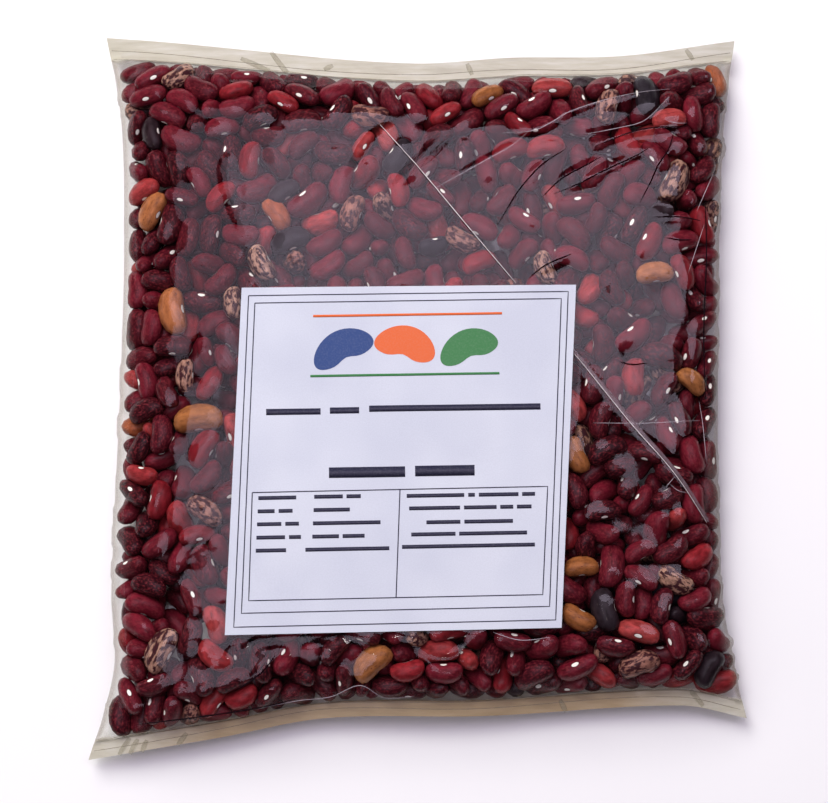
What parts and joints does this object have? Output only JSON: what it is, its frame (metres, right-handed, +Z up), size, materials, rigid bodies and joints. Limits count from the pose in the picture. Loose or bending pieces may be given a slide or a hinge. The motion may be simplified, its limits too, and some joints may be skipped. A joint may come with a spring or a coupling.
{
  "type": "bag of dried beans",
  "caption": "Clear pillow bag of dried kidney beans, heat sealed flat across both ends, lying on its back with a plain paper label stuck on top.",
  "frame": {"origin": "on the table under the middle of the bag's box", "axes": "+X across the bag to the label's right, +Y along it to the top seal, +Z up out of the labelled side"},
  "size_m": [0.1992, 0.2248, 0.0216],
  "materials": {
    "clear_film": "clear, glossy, taut",
    "beans": "smooth seed skin with a soft shine",
    "label_paper": "matt",
    "label_print": "matt"
  },
  "bodies": {
    "root": {"bag": "clear_film", "label": "label_paper"}
  },
  "joints": []
}
